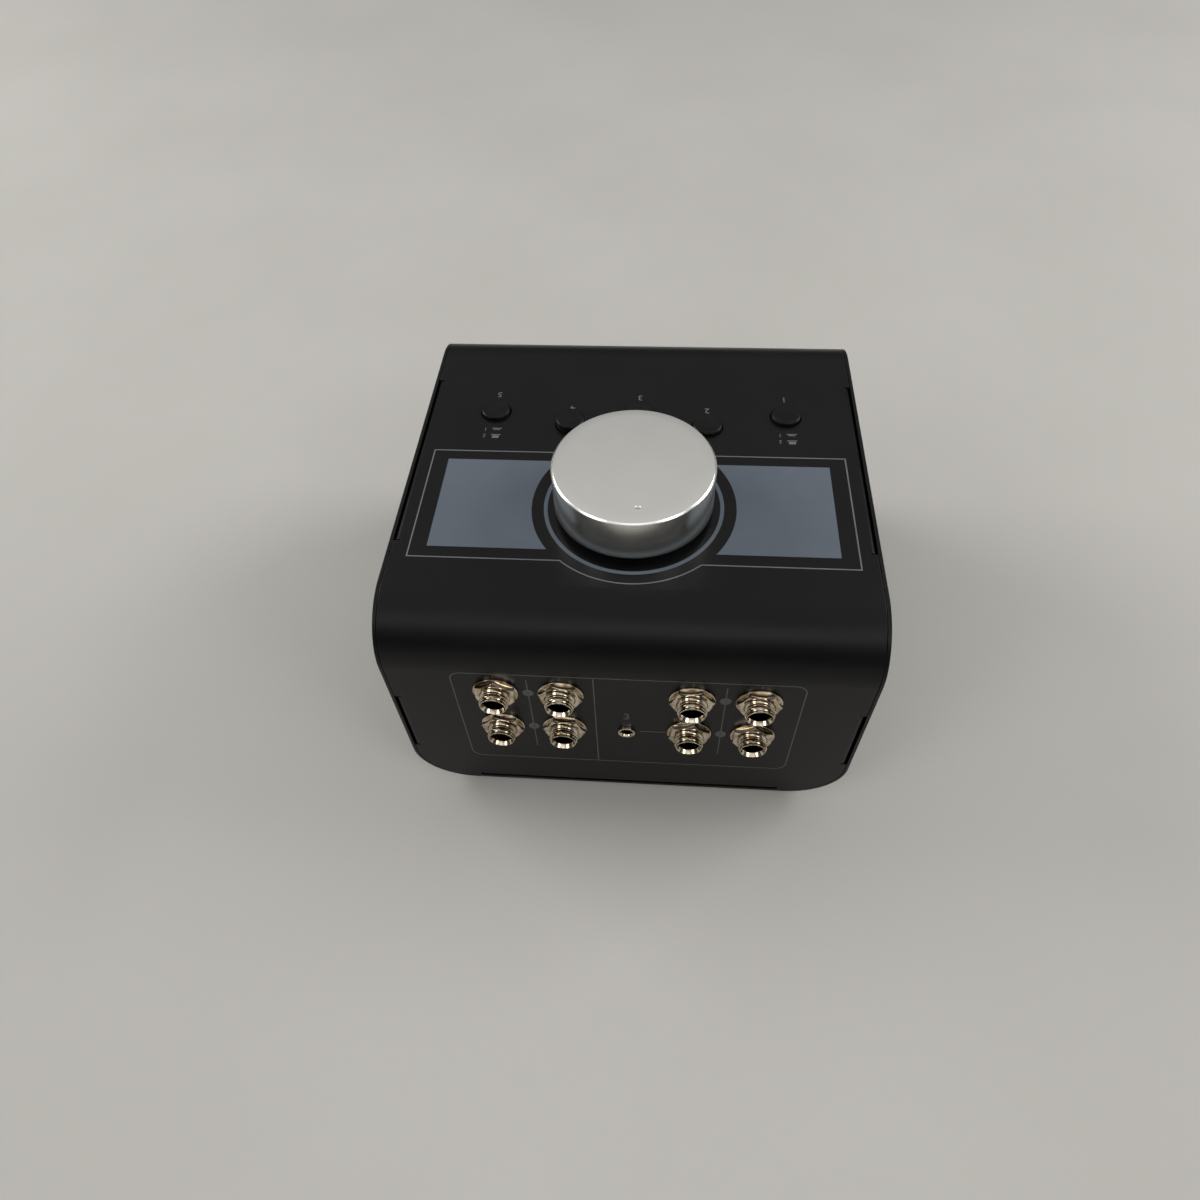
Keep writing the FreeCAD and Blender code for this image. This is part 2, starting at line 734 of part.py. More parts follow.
def make_volume_knob():
    """Turned aluminium cup with a hub, a bevelled rim and an index dimple near the rim."""
    knob = new_body("volume_knob")
    low = f"({TOP} + knob_gap)"
    high = f"({low} + knob_height)"
    hub_low = f"({TOP} + hub_gap)"
    inside = "knob_radius - knob_wall"
    profile = [
        ("0", high),
        ("0", f"{high} - knob_crown"),
        ("insert_radius", f"{high} - knob_crown"),
        ("insert_radius", hub_low),
        ("hub_radius", hub_low),
        ("hub_radius", f"{high} - knob_crown"),
        (inside, f"{high} - knob_crown"),
        (inside, low),
        ("knob_radius", low),
        ("knob_radius", f"{high} - knob_edge"),
        ("knob_radius - knob_edge", high),
    ]
    revolve(knob, "XZ", KNOB_Y, profile, axis="V_Axis")
    dimple_x = "-dimple_from_centre * sin(dimple_turn)"
    dimple_y = f"({KNOB_Y} + dimple_from_centre * cos(dimple_turn))"
    cone = [
        ("0", f"{high} - dimple_depth"),
        ("2 * dimple_radius", f"{high} + dimple_depth"),
        ("0", f"{high} + dimple_depth"),
    ]
    revolve(knob, "XZ", dimple_y, cone, axis="V_Axis", shift=(dimple_x, "0"), kind="Groove")
    return knob


def make_knob_drive():
    """The moulded insert in the hub and the potentiometer's shaft, which turn with the knob."""
    insert = new_body("knob_insert")
    hub_low = f"({TOP} + hub_gap)"
    roof = f"({TOP} + knob_gap + knob_height - knob_crown)"
    grip = "shaft_radius"
    profile = [
        (grip, hub_low),
        ("insert_radius", hub_low),
        ("insert_radius", roof),
        ("0", roof),
        ("0", f"{TOP} + shaft_reach"),
        (grip, f"{TOP} + shaft_reach"),
    ]
    revolve(insert, "XZ", KNOB_Y, profile, axis="V_Axis")

    shaft = new_body("pot_shaft")
    foot = f"({POT_PLATE_UNDER} - {GANGS} * wafer_thick)"
    pad(shaft, "XY", foot, f"{TOP} + shaft_reach - {foot}", 1, disc("shaft_radius", "0", KNOB_Y))


def make_potentiometer():
    """Four-gang potentiometer hung from the top by its threaded bushing and nut."""
    bushing = new_body("pot_bushing")
    pad(bushing, "XY", POT_PLATE_UNDER, "pot_plate_thick", 1, square("pot_plate_half", "0", KNOB_Y))
    reach = "sheet + pot_bushing_reach"
    pad(bushing, "XY", CEILING, reach, 1, disc("pot_bushing_radius", "0", KNOB_Y))
    through = f"pot_plate_thick + {reach}"
    pocket(bushing, "XY", POT_PLATE_UNDER, through, 1, disc("shaft_radius + shaft_gap", "0", KNOB_Y))

    wafers = new_body("pot_wafers")
    for gang in range(GANGS):
        level = f"{POT_PLATE_UNDER} - {gang} * wafer_thick"
        hole = disc("shaft_radius + 4 * shaft_gap", "0", KNOB_Y)
        pad(wafers, "XY", level, "wafer_thick - shaft_gap", -1, square("wafer_half", "0", KNOB_Y), hole)

    lugs = new_body("pot_lugs")
    lowest = f"({POT_PLATE_UNDER} - ({GANGS} - 0.5) * wafer_thick)"
    lug = rectangle(
        "-pin_pitch - pin_wide / 2",
        "-pin_pitch + pin_wide / 2",
        f"{lowest} - lug_thick / 2",
        f"{lowest} + lug_thick / 2",
    )
    first = pad(lugs, "XZ", f"{KNOB_Y} - wafer_half", "lug_reach", -1, lug)
    repeat(lugs, [first], ("X_Axis", "pin_pitch", LUGS_PER_GANG), ("Z_Axis", "wafer_thick", GANGS))

    washer = new_body("pot_washer")
    rings = [disc("pot_washer_radius", "0", KNOB_Y), disc("pot_bushing_radius", "0", KNOB_Y)]
    pad(washer, "XY", TOP, "pot_washer_thick", 1, *rings)

    nut = new_body("pot_nut")
    seat = f"({TOP} + pot_washer_thick)"
    pad(nut, "XY", seat, "pot_nut_thick", 1, hexagon("pot_nut_corner", "0", KNOB_Y))
    pocket(nut, "XY", seat, "pot_nut_thick", 1, disc("pot_bushing_radius", "0", KNOB_Y))


# ---------------------------------------------------------------- buttons


def make_button(name, x, y, latched):
    """A cap on a square stem that slides in a latching switch, over a return spring."""
    sunk = "latch_drop" if latched else "0"
    crown = f"({TOP} + cap_out - {sunk})"
    foot = f"({crown} - cap_tall)"
    switch_top = f"({BOARD_TOP} + switch_tall)"
    collar_top = f"({switch_top} - switch_wall - collar_play - {sunk})"
    collar_foot = f"({collar_top} - collar_tall)"
    chamber_foot = f"({BOARD_TOP} + switch_wall)"

    cap = new_body(f"{name}_cap")
    profile = [
        ("0", foot),
        ("cap_radius", foot),
        ("cap_radius", f"{crown} - cap_edge"),
        ("cap_radius - cap_edge", crown),
        ("0", f"{crown} - cap_dish"),
    ]
    revolve(cap, "XZ", y, profile, axis="V_Axis", shift=(x, "0"))
    grip = "(cap_tall - cap_out - stem_top / 2)"
    pocket(cap, "XY", foot, grip, 1, square("stem_half", x, y))

    stem = new_body(f"{name}_stem")
    pad(stem, "XY", collar_foot, f"{foot} + {grip} - {collar_foot}", 1, square("stem_half", x, y))
    pad(stem, "XY", collar_foot, "collar_tall", 1, square("collar_half", x, y))

    switch = new_body(f"{name}_switch")
    pad(switch, "XY", BOARD_TOP, "switch_tall", 1, square("switch_half", x, y))
    pocket(switch, "XY", switch_top, "switch_wall", -1, square("stem_half + stem_gap", x, y))
    pocket(switch, "XY", chamber_foot, "switch_tall - 2 * switch_wall", 1, square("chamber_half", x, y))

    spring = new_body(f"{name}_spring")
    rings = [disc("spring_radius", x, y), disc("spring_radius - spring_wire", x, y)]
    pad(spring, "XY", chamber_foot, f"{collar_foot} - {chamber_foot}", 1, *rings)


# ---------------------------------------------------------------- build and write


def build():
    make_top_cover()
    make_base_tray()
    make_rubber_feet()
    make_case_screws()
    make_clinch_nuts()
    make_jack_noses()
    make_jack_hardware()
    make_jack_housings()
    make_aux_jack()
    make_boards()
    make_header()
    make_volume_knob()
    make_knob_drive()
    make_potentiometer()
    for button in BUTTONS:
        make_button(*button)
    doc.recompute()


def check():
    """Stop if any object failed, or a sub-part is empty or not a valid solid."""
    for thing in doc.Objects:
        if "Invalid" in thing.State or "Error" in thing.State:
            raise RuntimeError(f"{thing.Label} failed: {thing.State}")
    for node in nodes:
        if node.Shape.isNull() or not node.Shape.isValid() or not node.Shape.Solids:
            raise RuntimeError(f"{node.Label} has no valid solid")


def write():
    os.makedirs("parts", exist_ok=True)
    for node in nodes:
        node.Shape.exportStep(f"parts/{node.Label}.step")
        box = node.Shape.BoundBox
        print(f"{node.Label}: {len(node.Shape.Solids)} solids, {node.Shape.Volume:.1f} mm3,", box)


build()
check()
write()
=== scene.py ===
import json
import math

import bmesh
import bpy
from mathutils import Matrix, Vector


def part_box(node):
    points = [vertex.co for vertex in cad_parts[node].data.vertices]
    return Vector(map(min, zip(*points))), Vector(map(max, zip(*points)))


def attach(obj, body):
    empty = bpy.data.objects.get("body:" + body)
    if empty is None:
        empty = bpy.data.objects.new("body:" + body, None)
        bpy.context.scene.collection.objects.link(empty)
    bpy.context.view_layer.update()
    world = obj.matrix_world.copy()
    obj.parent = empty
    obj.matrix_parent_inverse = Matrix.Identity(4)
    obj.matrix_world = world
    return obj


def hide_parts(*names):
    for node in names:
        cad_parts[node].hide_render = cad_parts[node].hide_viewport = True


# Looks of the studio monitor controller. The frame has +Z up, the user at -Y and the jacks at +Y.
# Shapes are in millimetres and MM turns them into metres. The camera's place, the lamps and the
# floor are in metres. Angles among the constants are in degrees, apart from the hexagon's.

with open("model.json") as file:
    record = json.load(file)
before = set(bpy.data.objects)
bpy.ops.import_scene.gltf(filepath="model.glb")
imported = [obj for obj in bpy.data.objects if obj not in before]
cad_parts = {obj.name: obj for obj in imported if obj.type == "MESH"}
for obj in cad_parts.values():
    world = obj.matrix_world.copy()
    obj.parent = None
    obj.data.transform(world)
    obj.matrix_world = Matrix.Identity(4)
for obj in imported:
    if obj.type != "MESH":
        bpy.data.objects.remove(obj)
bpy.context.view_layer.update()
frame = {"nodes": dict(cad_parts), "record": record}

MM = 0.001
# Vertices nearer to each other than this are merged
MERGE_GAP = 0.0005 * MM

# Camera
CAMERA_PLACE = (-0.0088, 0.2067, 0.2872)
CAMERA_TURN = (37.6618, 1.8809, -176.0293)
CAMERA_LENS = 25.51
CAMERA_SENSOR = 36.0

# Lamps: name, azimuth, elevation, distance, width, height, watts, spread
LAMPS = [
    ("rear_left", 128, 36, 1.3, 0.45, 0.4, 0.36, 70),
    ("rear_high", 183, 47, 1.3, 1.0, 0.5, 0.21, 70),
    ("rear_right", 232, 36, 1.3, 0.45, 0.4, 0.36, 70),
    ("front_left", -72, 28, 1.5, 0.8, 0.6, 11.5, 180),
    ("front_right", 72, 28, 1.5, 0.8, 0.6, 11, 180),
]
LAMP_AIM = (0, 0, 0.06)
# The sky: sine of the height above the horizon, and brightness
SKY_TONES = [(0.0, 0.05), (0.25, 0.08), (0.5, 0.27), (0.72, 0.60), (1.0, 0.62)]
FLOOR_SIZE = 8.0

# Samples of a shader node that rounds edges
BEVEL_SAMPLES = 6

# Jack noses: the thread starts under the nut and fades in and out at its ends
THREAD_PITCH = 0.8
THREAD_DEPTH = 0.43
THREAD_FADE = 0.7
THREAD_UNDER_NUT = 0.3
# One turn of the thread: how far along the pitch, and what share of the depth
THREAD_PROFILE = [(0.06, 0), (0.375, 1), (0.625, 1), (0.94, 0)]
NOSE_PLAIN_TIP = 0.95
NOSE_TIP_INSET = 0.33
NOSE_TIP_EDGE = 0.1
NOSE_LIP = 4.02
NOSE_LIP_WIDTH = 0.1
NOSE_LIP_OUTER_ROUND, NOSE_LIP_INNER_ROUND = 0.04, 0.03
NOSE_FLARE_DEPTH = 1.2
NOSE_FLARE_ROUND = 0.3

# Jack nuts and washers: a cone bevels a nut's outer face, from a share of the distance to its
# flats; a nut's corners are within NUT_REACH of its middle, and the next nut's aren't
HEX_STEP, HEX_HALF = math.pi / 3, math.pi / 6
NUT_REACH = 8
NUT_BEVEL_SLOPE = 30.0
NUT_BEVEL_START = 0.985
NUT_EDGE = 0.12
NUT_SHOULDER_DROP, NUT_SHOULDER_RISE = 0.1, 0.05
NUT_BORE_BEVEL = 0.35
NUT_BORE_EDGE, NUT_BORE_DROP = 0.06, 0.03
WASHER_ROUND = 0.1

# Mini jack's nose, as shares of its wall
MINI_EDGE_ROUND = 0.15
MINI_FACE, MINI_FACE_ROUND = 0.4, 0.1
MINI_FLARE, MINI_FLARE_ROUND = 0.6, 0.2

# Knob
KNOB_EDGE, KNOB_EDGE_ROUND = 0.6, 0.35
KNOB_WALL = 3.0
KNOB_HUB = 9.0
KNOB_FOOT_ROUND, KNOB_INNER_FOOT_ROUND = 0.4, 0.3
KNOB_HUB_FILLET, KNOB_WALL_FILLET = 0.5, 0.8
# Rings of vertices on the flat face, as shares of the radius
KNOB_FACE_RINGS = (0.85, 0.5)
KNOB_SHARP = 25
DIMPLE_FROM_CENTRE = 18.3
DIMPLE_TURN = 6.5
DIMPLE_RADIUS = 0.8
DIMPLE_DEPTH = 0.25
DIMPLE_RINGS = 24

# Button caps: the dish is CAP_DISH deep in the middle. Its two depths further out are shares of
# that, and CAP_DISH_INNER is a share of the radius.
CAP_EDGE = 0.7
CAP_FOOT_ROUND = 0.3
CAP_RECESS = 3.0
CAP_DISH = 0.25
CAP_DISH_ROUND = 0.5
CAP_DISH_START_DEPTH = 0.25
CAP_DISH_INNER, CAP_DISH_INNER_DEPTH = 0.4, 0.9

# Print: how far ink stands out of a face and reaches into it, and the ovals and their digits more
INK_OUT = 0.03
INK_IN = 0.02
OVAL_LIFT = 0.01
DIGIT_LIFT = 0.03
MITRE_LIMIT = 0.3
# Height of a figure as a share of the font's size
FIGURE_SHARE = 0.7
SMALL_NUMBER, BUTTON_NUMBER, AUX_NUMBER = 1.6, 2.6, 3.6
ARC_STEPS = 40
CIRCLE_STEPS = 128

# Print on the top
FRAME_LINE = 0.42
FRAME_HALF = 68.35
FRAME_FRONT, FRAME_REAR = -5.0, 42.3
FRAME_BULGE = 32.0
PANEL_HALF = 62.9
PANEL_FRONT, PANEL_REAR = -0.8, 38.0
PANEL_ARC = 32.4
RING_INNER, RING_OUTER = 27.3, 28.5
NUMBER_GAP, OUTER_NUMBER_GAP = 8.4, 9.4
# In and out marks: how far behind the button, and how thick the rear bar is
MARKS = [(8.85, 0.35), (12.1, 1.2)]
MARK_SHIFT = 1.5
MARK_HALF, MARK_BAR = 1.7, 0.35
MARK_REAR_HALF, MARK_GAP = 1.15, 0.3
MARK_NUMBER_ASIDE, MARK_NUMBER_BEHIND = 2.4, 0.4

# Print on the rear: drops are below the top
REAR_HALF = 53.8
REAR_HIGH, REAR_LOW = 20.0, 72.8
REAR_CORNER = 3.5
REAR_LINE = 0.35
REAR_DIVIDER = 9.9
PAIR_LINE = 30.4
PAIR_STRETCHES = [(22.5, 28.2), (31.8, 48.7), (52.3, 64.0)]
OVAL_DROPS = [30.0, 50.5]
OVAL_HALF_WIDTH, OVAL_HALF_HEIGHT = 1.75, 1.85
COLUMN_NUMBER_DROP = 21.5
AUX_LINE_START, AUX_LINE_GAP = 4.2, 7.5
AUX_NUMBER_RISE = 9.0


def corner_box(node):
    """A CAD node's lowest and highest corners in millimetres."""
    low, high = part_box(node)
    return low / MM, high / MM


COVER_HIGH = corner_box("top_cover")[1]
TOP = COVER_HIGH.z
REAR = COVER_HIGH.y
KNOB_LOW, KNOB_HIGH = corner_box("volume_knob")
KNOB_CENTRE = (KNOB_LOW + KNOB_HIGH) / 2
BUTTONS = ["input_select", "mono", "mute", "dim", "output_select"]
OUTER_BUTTONS = [BUTTONS[0], BUTTONS[-1]]
MOUNTS = frame["record"]["mounts"]
JACKS = [
    (mount["pos_m"][0] / MM, mount["pos_m"][2] / MM)
    for mount in MOUNTS
    if mount["name"].startswith(("output_jack", "input_jack"))
]


def bore_radius(name):
    """The radius of the record's mount of that name, in millimetres."""
    return next(mount["dims"]["r_mm"] for mount in MOUNTS if mount["name"] == name)


# ---------------------------------------------------------------- materials


class Finish:
    """A node material: one Principled surface with noise for its colour, roughness and relief."""

    def __init__(self, name, metallic=0.0, specular=0.5):
        self.material = bpy.data.materials.new(name)
        self.material.use_nodes = True
        tree = self.material.node_tree
        self.nodes, self.links = tree.nodes, tree.links
        self.surface = self.nodes["Principled BSDF"]
        self.surface.inputs["Metallic"].default_value = metallic
        self.surface.inputs["Specular IOR Level"].default_value = specular
        self.place = self.add("TexCoord", {}).outputs["Object"]
        self.normal = None

    def add(self, kind, inputs, **settings):
        """A shader node whose inputs are numbers, colours or other nodes' outputs."""
        node = self.nodes.new(f"ShaderNode{kind}")
        for setting, value in settings.items():
            setattr(node, setting, value)
        for socket, value in inputs.items():
            self.feed(node.inputs[socket], value)
        return node

    def feed(self, socket, value):
        if isinstance(value, bpy.types.NodeSocket):
            self.links.new(value, socket)
        else:
            socket.default_value = value

    def grain(self, size, detail=2.0, stretch=None):
        """Noise with features of about that size in millimetres, longer by the stretch per axis."""
        place = self.place
        if stretch:
            squeeze = [1 / way for way in stretch]
            squeezed = self.add("VectorMath", {0: place, 1: squeeze}, operation="MULTIPLY")
            place = squeezed.outputs[0]
        noise = self.add("TexNoise", {"Vector": place, "Scale": 1 / (size * MM), "Detail": detail})
        return noise.outputs["Fac"]

    def ramp(self, factor, dark, light, low=0.35, high=0.65):
        """From dark to light while the factor goes from low to high."""
        ramp = self.add("ValToRGB", {"Fac": factor})
        first, last = ramp.color_ramp.elements
        first.position, last.position = low, high
        first.color, last.color = (*dark, 1), (*light, 1)
        return ramp.outputs["Color"]

    def mix(self, factor, first, second):
        mix = self.add("Mix", {"Factor": factor}, data_type="RGBA")
        colours = [socket for socket in mix.inputs if socket.type == "RGBA"]
        for socket, colour in zip(colours, (first, second)):
            linked = isinstance(colour, bpy.types.NodeSocket)
            self.feed(socket, colour if linked else (*colour, 1))
        return next(socket for socket in mix.outputs if socket.type == "RGBA")

    def scale(self, factor, low, high, source=(0.3, 0.7)):
        """The factor mapped from its source range to low..high."""
        limits = {"From Min": source[0], "From Max": source[1], "To Min": low, "To Max": high}
        return self.add("MapRange", {"Value": factor, **limits}).outputs["Result"]

    def colour(self, colour):
        self.feed(self.surface.inputs["Base Color"], colour)

    def roughness(self, factor, low, high):
        self.feed(self.surface.inputs["Roughness"], self.scale(factor, low, high))

    def rounded_normal(self, radius):
        """The normal as if sharp edges were rounded to that radius in millimetres."""
        return self.add("Bevel", {"Radius": radius * MM}, samples=BEVEL_SAMPLES).outputs["Normal"]

    def soften(self, radius):
        """Shade sharp edges as if rounded to that radius in millimetres."""
        self.normal = self.rounded_normal(radius)
        self.feed(self.surface.inputs["Normal"], self.normal)

    def edges(self, radius):
        """1 at the sharp edges and 0 a radius away from them."""
        rounded_way = self.rounded_normal(radius)
        flat_way = self.add("NewGeometry", {}).outputs["Normal"]
        turn = self.add("VectorMath", {0: rounded_way, 1: flat_way}, operation="DOT_PRODUCT")
        return self.scale(turn.outputs["Value"], low=1.0, high=0.0, source=(0.8, 0.99))

    def relief(self, height, depth):
        """Bumps of that depth in millimetres."""
        bump = self.add("Bump", {"Height": height, "Distance": depth * MM})
        if self.normal:
            self.feed(bump.inputs["Normal"], self.normal)
        self.normal = bump.outputs["Normal"]
        self.feed(self.surface.inputs["Normal"], self.normal)


def coat_finish():
    """Satin powder coat: fine peel, faint smudges, and a painted highlight that makes the sheet
    edges paler.
    """
    finish = Finish("black_coat_paint", specular=0.21)
    peel = finish.grain(size=0.5, detail=3)
    smudge = finish.grain(size=30, detail=5)
    body = finish.ramp(smudge, dark=(0.0026, 0.0026, 0.0028), light=(0.0038, 0.0038, 0.0040))
    # Painted highlight: sharp edges are mixed towards a paler grey, in patches set by noise,
    # standing in for light caught by the edges.
    edges = finish.edges(radius=0.35)
    highlight_patches = finish.grain(size=4, detail=4)
    painted_edge_highlight = finish.add("Math", {0: edges, 1: highlight_patches}, operation="MULTIPLY")
    finish.colour(finish.mix(painted_edge_highlight.outputs[0], body, (0.05, 0.05, 0.052)))
    finish.roughness(smudge, low=0.29, high=0.36)
    finish.soften(radius=0.25)
    finish.relief(peel, depth=0.004)
    return finish.material


def ink_finish(name, dark, light, roughness=0.5):
    """Screen-printed ink: nearly even, with a slight mottle and a fine tooth."""
    finish = Finish(name, specular=0.25)
    mottle = finish.grain(size=6, detail=5)
    finish.colour(finish.ramp(mottle, dark, light))
    finish.roughness(mottle, low=roughness - 0.05, high=roughness + 0.05)
    finish.relief(finish.grain(size=0.3), depth=0.003)
    return finish.material


def aluminium_finish():
    """Bead-blasted, anodised aluminium: a fine even grain and faint cloudiness."""
    finish = Finish("satin_aluminium", metallic=1.0)
    grain = finish.grain(size=0.16, detail=2)
    cloud = finish.grain(size=9, detail=4)
    finish.colour(finish.ramp(cloud, dark=(0.83, 0.82, 0.775), light=(0.85, 0.84, 0.795)))
    finish.roughness(cloud, low=0.25, high=0.27)
    finish.relief(grain, depth=0.006)
    return finish.material


def nickel_finish():
    """Bright nickel plate over brass: warm, with faint turning marks and stains."""
    finish = Finish("bright_nickel", metallic=1.0)
    stain = finish.grain(size=2.2, detail=5)
    turning = finish.grain(size=0.5, detail=2, stretch=(6, 1, 6))
    finish.colour(finish.ramp(stain, dark=(0.40, 0.315, 0.20), light=(0.745, 0.68, 0.57)))
    finish.roughness(stain, low=0.06, high=0.12)
    finish.relief(turning, depth=0.002)
    return finish.material


def metal_finish(name, dark, light, low, high, size=3.0):
    """Plain plated or blackened metal with faint stains, and scratches an eighth of their size."""
    finish = Finish(name, metallic=1.0)
    stain = finish.grain(size, detail=5)
    finish.colour(finish.ramp(stain, dark, light))
    finish.roughness(stain, low, high)
    finish.relief(finish.grain(size / 8), depth=0.003)
    return finish.material


def moulded_finish(name, dark, light, roughness, texture=0.25, depth=0.01, specular=0.4):
    """Moulded plastic or rubber with a spark-eroded texture."""
    finish = Finish(name, specular=specular)
    tone = finish.grain(size=5, detail=4)
    finish.colour(finish.ramp(tone, dark, light))
    finish.roughness(tone, low=roughness - 0.05, high=roughness + 0.05)
    finish.relief(finish.grain(texture, detail=3), depth)
    return finish.material


def board_finish():
    """Green solder mask over the woven glass of a circuit board."""
    finish = Finish("solder_mask")
    weave = finish.add("TexChecker", {"Vector": finish.place, "Scale": 1 / (0.8 * MM)})
    tone = finish.grain(size=12, detail=4)
    finish.colour(finish.ramp(tone, dark=(0.012, 0.075, 0.032), light=(0.022, 0.12, 0.055)))
    finish.roughness(tone, low=0.28, high=0.38)
    finish.relief(weave.outputs["Fac"], depth=0.01)
    return finish.material


def laminate_finish():
    """Brown phenolic laminate with its paper grain."""
    finish = Finish("phenolic_laminate", specular=0.35)
    fibre = finish.grain(size=0.8, detail=5, stretch=(8, 1, 1))
    finish.colour(finish.ramp(fibre, dark=(0.15, 0.07, 0.028), light=(0.25, 0.13, 0.055)))
    finish.roughness(fibre, low=0.45, high=0.6)
    finish.relief(fibre, depth=0.01)
    return finish.material


def floor_finish():
    finish = Finish("pale_floor", specular=0.1)
    tone = finish.grain(size=140, detail=3)
    finish.colour(finish.ramp(tone, dark=(0.45, 0.435, 0.405), light=(0.47, 0.455, 0.425)))
    finish.roughness(tone, low=0.85, high=0.95)
    return finish.material


FINISHES = {
    "black_coat": coat_finish(),
    "foot_rubber": moulded_finish(
        "foot_rubber_skin",
        dark=(0.012, 0.012, 0.012),
        light=(0.022, 0.022, 0.022),
        roughness=0.8,
        texture=0.5,
        depth=0.03,
    ),
    "black_oxide": metal_finish(
        "black_oxide_steel",
        dark=(0.02, 0.02, 0.022),
        light=(0.045, 0.045, 0.048),
        low=0.32,
        high=0.45,
        size=1.2,
    ),
    "plated_steel": metal_finish(
        "zinc_plate", dark=(0.42, 0.42, 0.42), light=(0.56, 0.56, 0.57), low=0.28, high=0.42
    ),
    "nickel": nickel_finish(),
    "housing_plastic": moulded_finish(
        "housing_nylon", dark=(0.008, 0.008, 0.009), light=(0.014, 0.014, 0.015), roughness=0.5
    ),
    "tinned_pins": metal_finish(
        "tinned_copper", dark=(0.48, 0.48, 0.46), light=(0.62, 0.62, 0.6), low=0.25, high=0.4
    ),
    "circuit_board": board_finish(),
    "knob_aluminium": aluminium_finish(),
    "insert_plastic": moulded_finish(
        "insert_nylon", dark=(0.015, 0.015, 0.015), light=(0.025, 0.025, 0.025), roughness=0.5
    ),
    "pot_metal": metal_finish(
        "pot_plate", dark=(0.4, 0.4, 0.39), light=(0.52, 0.52, 0.5), low=0.25, high=0.4
    ),
    "pot_laminate": laminate_finish(),
    "button_plastic": moulded_finish(
        "button_abs",
        dark=(0.004, 0.004, 0.0044),
        light=(0.007, 0.007, 0.0074),
        roughness=0.36,
        texture=0.2,
        depth=0.004,
        specular=0.16,
    ),
    "switch_plastic": moulded_finish(
        "switch_acetal", dark=(0.45, 0.45, 0.42), light=(0.55, 0.55, 0.52), roughness=0.45
    ),
    "spring_steel": metal_finish(
        "spring_wire", dark=(0.35, 0.35, 0.35), light=(0.48, 0.48, 0.48), low=0.25, high=0.4
    ),
}
PANEL_INK = ink_finish("panel_ink", dark=(0.094, 0.112, 0.135), light=(0.099, 0.117, 0.141))
TOP_INK = ink_finish("top_ink", dark=(0.118, 0.123, 0.131), light=(0.137, 0.142, 0.150))
REAR_INK = ink_finish("rear_ink", dark=(0.087, 0.087, 0.091), light=(0.111, 0.111, 0.115))


def dress_cad_nodes():
    """Give each CAD node the finish of its material slot."""
    for part in frame["record"]["subparts"]:
        node = frame["nodes"][part["node"]]
        node.data.materials.clear()
        node.data.materials.append(FINISHES[part["material_slot"]])


# ---------------------------------------------------------------- shapes


def rounded(corners, steps=4):
    """A closed outline through corners (x, y, radius), with an arc where the radius isn't 0."""
    points = []
    earlier, later = corners[-1:] + corners[:-1], corners[1:] + corners[:1]
    for before, corner, after in zip(earlier, corners, later):
        here, radius = Vector(corner[:2]), corner[2]
        if not radius:
            points.append(tuple(here))
            continue
        back = (Vector(before[:2]) - here).normalized()
        ahead = (Vector(after[:2]) - here).normalized()
        half = back.angle(ahead) / 2
        centre = here + (back + ahead).normalized() * radius / math.sin(half)
        start = here + back * radius / math.tan(half) - centre
        end = here + ahead * radius / math.tan(half) - centre
        sweep = math.pi - 2 * half
        for step in range(steps + 1):
            share = step / steps
            start_part = math.sin((1 - share) * sweep) / math.sin(sweep)
            end_part = math.sin(share * sweep) / math.sin(sweep)
            points.append(tuple(centre + start * start_part + end * end_part))
    return points


def arc(centre, radius, start, end, steps):
    """Points of an arc between two angles in degrees."""
    turns = [math.radians(start + (end - start) * step / steps) for step in range(steps + 1)]
    x, y = centre
    return [(x + radius * math.cos(turn), y + radius * math.sin(turn)) for turn in turns]


def oval(centre, half_width, half_height, steps=40):
    """Points of an upright oval."""
    turns = [2 * math.pi * step / steps for step in range(steps)]
    x, y = centre
    return [(x + half_width * math.cos(turn), y + half_height * math.sin(turn)) for turn in turns]


def turned(stations, centre, axis, steps, helix=None):
    """Vertices and faces of a form of revolution.

    A station is a (radius, height) pair, or a function of the angle that gives one. The stations go
    round a closed loop, or from the axis to the axis. For a station of a thread, helix says which
    station its line goes on as after a full turn.
    """
    helix = helix or {}
    vertices = []
    for station in stations:
        for step in range(steps):
            turn = 2 * math.pi * step / steps
            radius, height = station(turn) if callable(station) else station
            across, up = radius * math.cos(turn), radius * math.sin(turn)
            if axis == "Z":
                vertices.append((centre[0] + across, centre[1] + up, height))
            else:
                vertices.append((centre[0] + across, height, centre[1] + up))
    faces = []
    count = len(stations)
    for ring in range(count):
        following = (ring + 1) % count
        for step in range(steps):
            beside = (step + 1) % steps
            last = step == steps - 1
            ring_on = helix.get(ring, ring) if last else ring
            following_on = helix.get(following, following) if last else following
            corners = [(ring, step), (ring_on, beside), (following_on, beside), (following, step)]
            faces.append([at * steps + turn for at, turn in corners])
    return vertices, faces


def joined(shapes):
    """One list of vertices and one of faces from several."""
    vertices, faces = [], []
    for points, sides in shapes:
        faces.extend([[index + len(vertices) for index in side] for side in sides])
        vertices.extend(points)
    return vertices, faces


def make_piece(name, shape, material, body, sharp=35):
    """An object in the row frame from vertices in millimetres and faces, riding on a body."""
    vertices, faces = shape
    mesh = bpy.data.meshes.new(name)
    mesh.from_pydata([Vector(vertex) * MM for vertex in vertices], [], faces)
    clean = bmesh.new()
    clean.from_mesh(mesh)
    bmesh.ops.remove_doubles(clean, verts=clean.verts, dist=MERGE_GAP)
    bmesh.ops.dissolve_degenerate(clean, edges=clean.edges, dist=MERGE_GAP)
    bmesh.ops.recalc_face_normals(clean, faces=clean.faces)
    clean.to_mesh(mesh)
    clean.free()
    mesh.shade_smooth()
    mesh.set_sharp_from_angle(angle=math.radians(sharp))
    mesh.materials.append(material)
    piece = bpy.data.objects.new(name, mesh)
    bpy.context.scene.collection.objects.link(piece)
    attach(piece, body)
    return piece


def stand_for(node):
    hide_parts(node)


# ---------------------------------------------------------------- jacks


